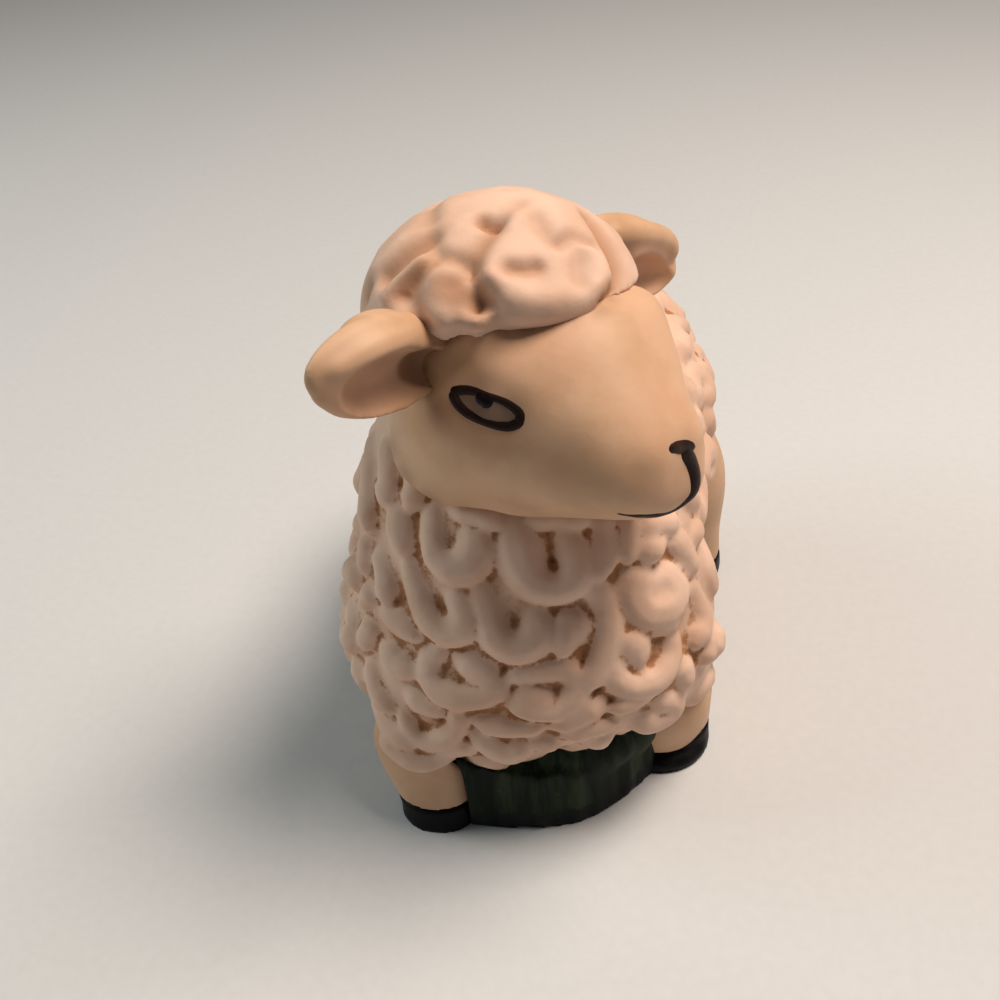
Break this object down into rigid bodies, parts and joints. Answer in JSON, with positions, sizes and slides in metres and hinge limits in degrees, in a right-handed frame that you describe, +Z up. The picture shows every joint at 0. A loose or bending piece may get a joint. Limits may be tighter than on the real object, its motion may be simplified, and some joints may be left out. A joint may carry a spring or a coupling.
{
  "type": "sheep figurine",
  "caption": "Small hollow ceramic sheep standing on a grass mound, curly fleece, head turned to its left, to rest on a shelf or table.",
  "frame": {"origin": "on the table under the belly, midway between the feet, on the flat underside of the grass mound", "axes": "+Z up, the sheep faces -Y with its body, its own left side is +X; the head is turned 56 degrees to its left"},
  "size_m": [0.039, 0.0595, 0.0598],
  "materials": {
    "fleece_bisque": "matte off-white bisque with a thin brown wash left in the creases",
    "smooth_bisque": "matte cream bisque, lightly shaded by hand",
    "hoof_paint": "black paint on bisque, satin",
    "grass_paint": "very dark green paint on bisque, satin, brushed upwards"
  },
  "bodies": {
    "root": {"body": "fleece_bisque", "wool_cap": "fleece_bisque", "tail": "fleece_bisque", "head": "smooth_bisque", "ear_right": "smooth_bisque", "ear_left": "smooth_bisque", "leg_front_right": "smooth_bisque", "leg_front_left": "smooth_bisque", "leg_rear_right": "smooth_bisque", "leg_rear_left": "smooth_bisque", "hoof_front_right": "hoof_paint", "hoof_front_left": "hoof_paint", "hoof_rear_right": "hoof_paint", "hoof_rear_left": "hoof_paint", "grass_base": "grass_paint"}
  },
  "joints": []
}
